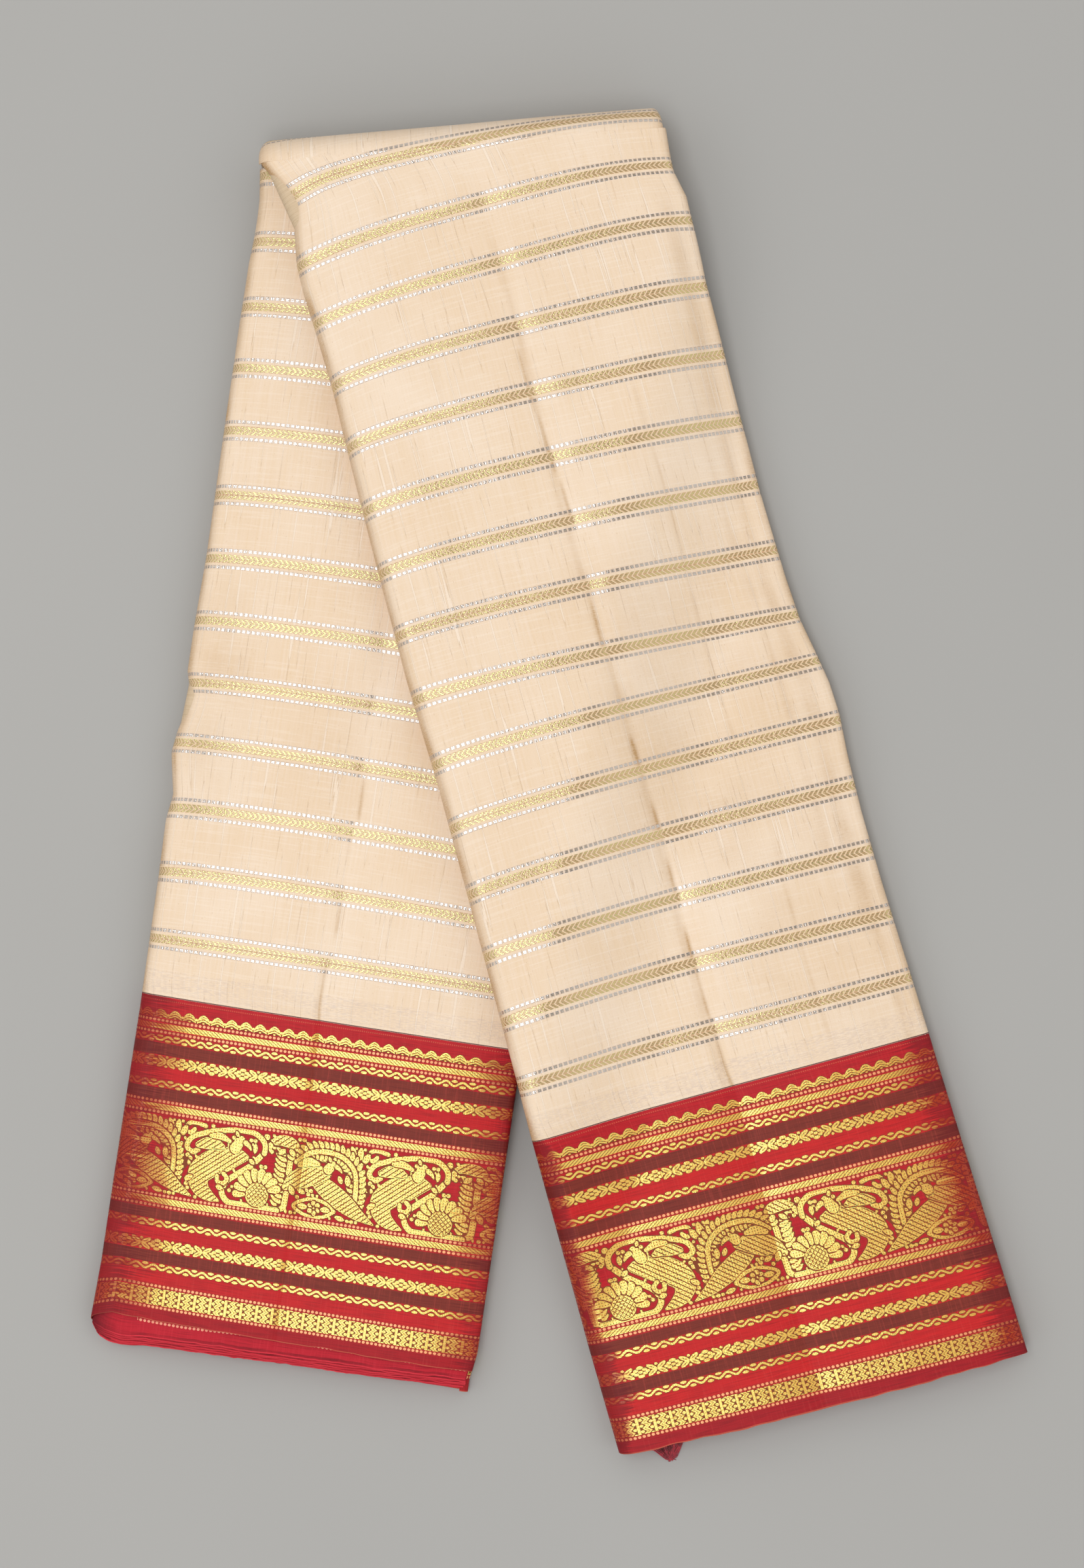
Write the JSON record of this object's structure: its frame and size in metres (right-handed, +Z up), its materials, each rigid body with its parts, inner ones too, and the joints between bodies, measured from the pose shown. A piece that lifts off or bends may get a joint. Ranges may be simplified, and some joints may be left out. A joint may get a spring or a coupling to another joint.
{
  "type": "kanchipuram saree",
  "caption": "Cream silk saree with woven gold stripes and broad red and gold borders, folded into a long pack, folded once askew and laid flat.",
  "frame": {"origin": "on the surface that the saree lies on, under the middle of its outline seen from above", "axes": "+Y along the saree towards the crease, +X towards the side of the upper leg, +Z up out of the surface"},
  "size_m": [0.4326, 0.6321, 0.0334],
  "materials": {
    "field_silk": "cream raw silk with woven silver and gold stripes",
    "border_silk": "crimson silk with bands of woven gold",
    "hidden_layers": "folded silk seen edge on",
    "loose_yarn": "loose dark red silk yarn"
  },
  "bodies": {
    "root": {"front_field": "field_silk", "front_border": "border_silk", "back_field": "field_silk", "back_border": "border_silk", "crease_turn": "field_silk", "front_layers": "hidden_layers", "back_layers": "hidden_layers", "crease_layers": "hidden_layers", "end_fringe": "loose_yarn"}
  },
  "joints": []
}
